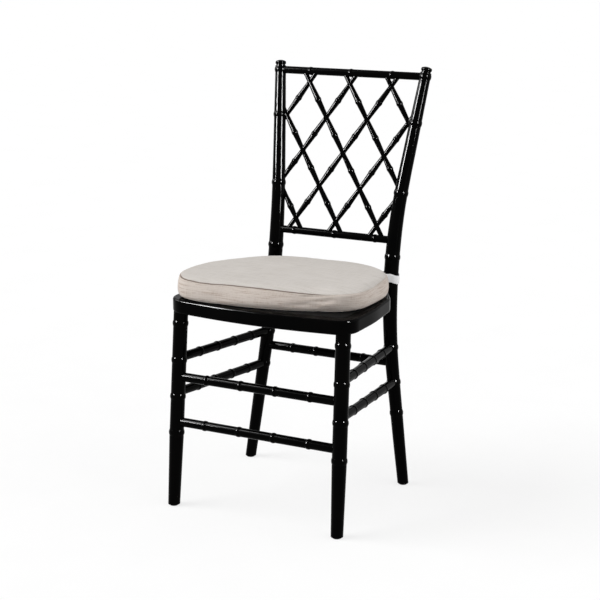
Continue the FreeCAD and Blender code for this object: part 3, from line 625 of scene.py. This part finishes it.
def stuff(piece):
    """Blow the cover up and keep the result, capped, as the piece's own mesh."""
    cloth = add_cloth(piece)
    for number in range(1, STUFFING_FRAMES + 1):
        scene.frame_set(number)
    swollen = piece.evaluated_get(bpy.context.evaluated_depsgraph_get()).data
    places = [v.co.copy() for v in swollen.vertices]
    piece.modifiers.remove(cloth)
    piece.vertex_groups.clear()
    scene.frame_set(1)
    furthest = 0.0
    for vertex, place in zip(piece.data.vertices, places):
        step = place - vertex.co
        furthest = max(furthest, step.length)
        if step.length > SWELL_CAP:
            step *= SWELL_CAP / step.length
        vertex.co += step
        vertex.co.z = max(vertex.co.z, cushion_low.z)
    return furthest


print(f"stuffed; the furthest point wanted to move {stuff(cushion) / MM:.1f} mm")

# %% [markdown]
# Seams
#
# A seam is a narrow valley with the two cloths rolling into it. A dark line in the material alone would not
# catch the light, so it is made as a shape: a bevel of the marked edges gives the seam a middle line, which is
# then pushed in, and one subdivision rounds it. The valley of the upper seam also gets the seam linen, which
# paints shade into it; the lower seam keeps the band's linen.

# %% Seams
SEAM_WIDTH = 1.0 * MM
SEAM_DEPTH = 2.0 * MM


def press_seams(piece):
    """Turn the sharp edges into valleys; gives how many points lie in them."""
    cover = bmesh.new()
    cover.from_mesh(piece.data)
    sharp = [edge for edge in cover.edges if not edge.smooth]
    made = bmesh.ops.bevel(cover, geom=sharp, offset=SEAM_WIDTH, segments=2, profile=0.5, affect="EDGES")
    fresh = set(made["faces"])
    valley = [v for v in made["verts"] if all(face in fresh for face in v.link_faces)]
    cover.normal_update()
    moves = [(v, v.normal * SEAM_DEPTH) for v in valley]
    for vertex, move in moves:
        vertex.co -= move
    for part in (*cover.faces, *cover.edges):
        part.smooth = True
    # Painted shade: the valley faces of the upper seam get the shaded seam linen, those of the lower seam the
    # band's linen.
    for face in fresh:
        face.material_index = SHADED_SEAM_SLOT if face.calc_center_median().z > centre.z else BAND_SLOT
    cover.to_mesh(piece.data)
    cover.free()
    return len(valley)


def apply_modifiers(piece):
    """Keep what the piece's modifiers make as its own mesh."""
    finished = bpy.data.meshes.new_from_object(piece.evaluated_get(bpy.context.evaluated_depsgraph_get()))
    piece.modifiers.clear()
    piece.data = finished


valley_count = press_seams(cushion)
cushion.modifiers.new("rounding", "SUBSURF").levels = 1
apply_modifiers(cushion)
print(f"{valley_count} seam points, {len(cushion.data.vertices)} points in all")

# %% [markdown]
# Wrinkles
#
# The band of a soft cushion buckles where it bends round a corner. A simulation would put wrinkles anywhere,
# so these few are drawn: each is a line between two places on the band, given as an angle in degrees and a
# share of the height, and the cloth is pushed in along it.

# %% Wrinkles
WRINKLES = (
    ((-60, 0.72), (-43, 0.88)),
    ((-55, 0.50), (-38, 0.66)),
    ((-72, 0.30), (-50, 0.40)),
)
WRINKLE_DEPTH = 2.2 * MM
WRINKLE_WIDTH = 3.5 * MM
WRINKLE_LEAST = 0.05 * MM
WRINKLE_ENDS = 0.1


def crease(place, first, last):
    """1 on a line between two places of the unrolled band, falling off beside it and towards its ends."""
    along = last - first
    share = min(max((place - first).dot(along) / along.length_squared, 0.0), 1.0)
    beside = (place - first - along * share).length / WRINKLE_WIDTH
    return math.exp(-beside ** 2) * math.sin(math.pi * (WRINKLE_ENDS + (1 - 2 * WRINKLE_ENDS) * share))


def press_wrinkles(piece):
    """Push the band in along its wrinkles; gives how many points moved."""
    tall = seam_height - rim_height
    wide = cushion_high.x - centre.x

    def unrolled(angle, share):
        return Vector((math.radians(angle) * wide, share * tall))

    lines = [[unrolled(*end) for end in ends] for ends in WRINKLES]
    moved = 0
    for vertex in piece.data.vertices:
        outward = Vector((vertex.co.x - centre.x, vertex.co.y - centre.y, 0.0))
        place = Vector((math.atan2(outward.y, outward.x) * wide, vertex.co.z - rim_height))
        depth = WRINKLE_DEPTH * sum(crease(place, *line) for line in lines)
        if depth > WRINKLE_LEAST and outward.length > cushion_high.y - centre.y:
            vertex.co -= outward.normalized() * depth
            moved += 1
    return moved


print(f"{press_wrinkles(cushion)} wrinkled points")

# %% [markdown]
# The way it lies
#
# A loose cushion is never quite square on its seat, so it is turned and shifted a little. Its points are moved,
# not the object, because the object has to keep the frame of the body it rides on. Then it is hung on the
# cushion body, so that it moves with it, and it stands in for the CAD solid, which is hidden.

# %% The way it lies
CUSHION_TURN = math.radians(6.0)
CUSHION_SHIFT = Vector((-7.0 * MM, 0, 0))

turned = Matrix.Rotation(CUSHION_TURN, 4, "Z") @ Matrix.Translation(-centre)
cushion.data.transform(Matrix.Translation(centre + CUSHION_SHIFT) @ turned)
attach(cushion, "cushion")
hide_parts("seat_cushion")
print(f"turned by {math.degrees(CUSHION_TURN):.0f} degrees")

# %% [markdown]
# Woven tape
#
# The straps are white woven tape, taken to be ribbed along its length as most tape is. A sine wave across it
# makes the ribs and fine noise makes the yarn. Tape is matt, so it has no gloss, only a little sheen from loose
# fibres.

# %% Woven tape
RIB_PITCH = 1.6 * MM
RIB_DEPTH = 0.3 * MM


def woven_tape():
    material, place = new_material("woven_tape")
    rib = (place.axis("Z") * (2 * math.pi / RIB_PITCH)).sine()
    yarn = place.noise(1400.0, detail=2.0)
    mark = rib * 0.15 + yarn
    return finish_material(
        material,
        Base_Color=mark.ramp((0.3, (0.80, 0.79, 0.79)), (0.6, (0.93, 0.93, 0.94))),
        Roughness=yarn * 0.15 + 0.7,
        Specular_IOR_Level=0.0,
        Sheen_Weight=0.1,
        Normal=mark.bump(RIB_DEPTH),
    )


TAPE = woven_tape()
print(TAPE.name)

# %% [markdown]
# Straps
#
# A strap is one length of white tape, sewn into the cushion's rear corner, taken round the post and closed on
# itself. Seen from above it is a keyhole: two layers together, then a loop. A simulated tape could slip off the
# post, so the path is drawn in that plane and a ribbon of the tape's height follows it, on into the cushion,
# whose corners have slumped.

# %% Straps
TAPE_THICKNESS = 1.4 * MM
TAPE_ROWS = 6
LOOP_RADIUS = 17.8 * MM
BAND_RADIUS = 19.7 * MM
LOOP_STEPS = 40
TAB_STEPS = 8
MEET_RADII = 1.5
LAYER_SHARE = 0.55
OUTER_SAG = 7.0 * MM
TAB_INSIDE = 26.0 * MM


def strap_path(axis, tab_end):
    """Points of the keyhole in plan: out along the tab, round the post and back."""
    towards = tab_end - axis
    angle_there = math.atan2(towards.y, towards.x)
    meet = MEET_RADII * LOOP_RADIUS
    tangent = math.acos(LOOP_RADIUS / meet)
    along = towards.normalized()
    layer = Vector((-along.y, along.x)) * (TAPE_THICKNESS * LAYER_SHARE)
    reach = axis + along * meet - tab_end
    out = [tab_end + layer + reach * (k / TAB_STEPS) for k in range(TAB_STEPS)]
    sweep = 2 * (math.pi - tangent)
    loop = []
    for k in range(LOOP_STEPS + 1):
        angle = angle_there + tangent + sweep * k / LOOP_STEPS
        loop.append(axis + Vector((math.cos(angle), math.sin(angle))) * LOOP_RADIUS)
    back = [place - 2 * layer for place in reversed(out)]
    return out + loop + back


def weave_ribbon(name, path, low, high, sag):
    """A ribbon on edge along a path in plan, lowered at each place by sag, with the tape's thickness."""
    ribbon = bmesh.new()
    rows = []
    for place in path:
        heights = [low - sag(place) + (high - low) * k / TAPE_ROWS for k in range(TAPE_ROWS + 1)]
        rows.append([ribbon.verts.new((place.x, place.y, height)) for height in heights])
    for here, after in zip(rows, rows[1:]):
        for k in range(TAPE_ROWS):
            ribbon.faces.new((here[k], after[k], after[k + 1], here[k + 1])).smooth = True
    mesh = bpy.data.meshes.new(name)
    ribbon.to_mesh(mesh)
    ribbon.free()
    mesh.materials.append(TAPE)
    strap = bpy.data.objects.new(name, mesh)
    scene.collection.objects.link(strap)
    thick = strap.modifiers.new("thickness", "SOLIDIFY")
    thick.thickness = TAPE_THICKNESS
    thick.offset = 0
    strap.modifiers.new("rounding", "SUBSURF").levels = 1
    apply_modifiers(strap)
    return strap


def make_strap(side):
    """The strap of one side: its post and its tab are read from the CAD strap's box."""
    name = f"{side}_strap"
    low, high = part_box(name)
    outer = 1 if side == "right" else -1
    axis = Vector(((high if outer > 0 else low).x - outer * BAND_RADIUS, high.y - BAND_RADIUS))
    tab_end = Vector(((low if outer > 0 else high).x, low.y))
    tab_end += (centre.xy - tab_end).normalized() * TAB_INSIDE

    def sag(place):
        return OUTER_SAG * max(0.0, outer * (place.x - axis.x) / LOOP_RADIUS) ** 2

    strap = weave_ribbon(f"{side}_tape", strap_path(axis, tab_end), low.z, high.z, sag)
    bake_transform(strap)
    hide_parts(name)
    return strap


straps = [make_strap(side) for side in ("left", "right")]
print([strap.name for strap in straps])

# %% [markdown]
# White paper floor
#
# The chair stands on white paper. To the camera and to mirrors the paper is mostly a glow with a little
# shading on it, so it is white and keeps a faint shadow; to every other ray it is plain paper that throws
# light back up. More light would whiten it too, but it would bleach the cushion as well.

# %% White paper floor
FLOOR_HALF = 40.0
FLOOR_GLOW = 0.74
PAPER_SHOWN = 0.25
PAPER_BOUNCE = 0.68


def seen_directly(tree):
    """1 for rays that show what is there: camera, mirror and glass rays."""
    path = Wire.node(tree, "ShaderNodeLightPath", output="Is Camera Ray")
    for kind in ("Is Glossy Ray", "Is Transmission Ray"):
        path = path.larger(Wire.node(tree, "ShaderNodeLightPath", output=kind))
    return path


def white_paper():
    material, place = new_material("white_paper")
    tree = material.node_tree

    def tooth(shade):
        return place.noise(6.0).ramp((0.3, (shade * 0.98,) * 3), (0.7, (shade * 1.02,) * 3))

    bounce = Wire.node(tree, "ShaderNodeBsdfDiffuse", inputs={"Color": tooth(PAPER_BOUNCE)})
    shaded = Wire.node(tree, "ShaderNodeBsdfDiffuse", inputs={"Color": tooth(PAPER_SHOWN)})
    glow = Wire.node(tree, "ShaderNodeEmission", inputs={"Strength": FLOOR_GLOW})
    shown = Wire.node(tree, "ShaderNodeAddShader", inputs={0: shaded, 1: glow})
    mixed = Wire.node(tree, "ShaderNodeMixShader", inputs={"Fac": seen_directly(tree), 1: bounce, 2: shown})
    Wire.node(tree, "ShaderNodeOutputMaterial", inputs={"Surface": mixed})
    return material


def lay_floor():
    mesh = bpy.data.meshes.new("floor")
    corners = [(x * FLOOR_HALF, y * FLOOR_HALF, 0.0) for x, y in ((-1, -1), (1, -1), (1, 1), (-1, 1))]
    mesh.from_pydata(corners, [], [(0, 1, 2, 3)])
    mesh.materials.append(white_paper())
    floor = bpy.data.objects.new("floor", mesh)
    scene.collection.objects.link(floor)
    return floor


print(lay_floor().name)

# %% [markdown]
# White surroundings
#
# The photograph was taken against white. The sky is white where it is seen, directly or in a mirror, and a
# plain even light to all else, so the background is white without flooding the chair.

# %% White surroundings
WORLD_LIGHT = 0.50
WORLD_SHOWN = 1.0


def light_world():
    world = bpy.data.worlds.new("studio")
    world.use_nodes = True
    world.node_tree.nodes.clear()
    tree = world.node_tree

    def sky(strength):
        return Wire.node(tree, "ShaderNodeBackground", inputs={"Color": (1, 1, 1, 1), "Strength": strength})

    shown = {"Fac": seen_directly(tree), 1: sky(WORLD_LIGHT), 2: sky(WORLD_SHOWN)}
    mixed = Wire.node(tree, "ShaderNodeMixShader", inputs=shown)
    Wire.node(tree, "ShaderNodeOutputWorld", inputs={"Surface": mixed})
    return world


scene.world = light_world()
scene.view_settings.view_transform = "Standard"
print(scene.world.name)

# %% [markdown]
# Lamps
#
# A soft sun comes from the front left and a weaker one fills from the right. What the lacquer shows are
# mirror images of lamps: tall strips draw the long lines on the posts, and a soft one shades the slats and
# rungs. Matt surfaces, which these would overlight, don't see them. The table gives each mirror lamp's
# direction, its width and height, and its radiance.

# %% Lamps
LAMP_TARGET = Vector((0, 0, 0.5))
LAMP_DISTANCE = 2.6
SUNS = (
    ("soft_sun", (-0.70, -0.38, 0.60), 2.2, math.radians(40)),
    ("fill_sun", (0.98, 0.10, 0.30), 1.2, math.radians(70)),
)
MIRROR_LAMPS = (
    ("edge_lamp", (-0.55, -0.35, 0.75), 0.5, 0.5, 100),
    ("left_strip", (-0.69, -0.72, 0.472), 0.45, 0.73, 850),
    ("right_strip", (0.96, -0.29, 0.457), 0.40, 0.65, 850),
    ("right_low_strip", (0.96, -0.29, 0.21), 0.25, 0.19, 400),
    ("left_soft", (-0.85, -0.15, 0.45), 1.6, 0.9, 24),
)


def hang_lamp(name, kind, towards, energy):
    """A lamp that looks at the chair's middle from a direction."""
    lamp_data = bpy.data.lights.new(name, kind)
    lamp_data.energy = energy
    lamp = bpy.data.objects.new(name, lamp_data)
    scene.collection.objects.link(lamp)
    direction = Vector(towards).normalized()
    lamp.location = LAMP_TARGET + direction * LAMP_DISTANCE
    lamp.rotation_euler = (-direction).to_track_quat("-Z", "Y").to_euler()
    lamp.visible_camera = False
    return lamp


def hang_sun(name, towards, strength, spread):
    sun = hang_lamp(name, "SUN", towards, strength)
    sun.data.angle = spread
    return sun


def hang_mirror_lamp(name, towards, width, height, radiance):
    """A rectangular lamp that shows only in glossy surfaces, as bright as a radiance."""
    lamp = hang_lamp(name, "AREA", towards, radiance * math.pi * width * height)
    lamp.data.shape = "RECTANGLE"
    lamp.data.size = width
    lamp.data.size_y = height
    lamp.visible_diffuse = False
    return lamp


lamps = [hang_sun(*row) for row in SUNS] + [hang_mirror_lamp(*row) for row in MIRROR_LAMPS]
print([lamp.name for lamp in lamps])
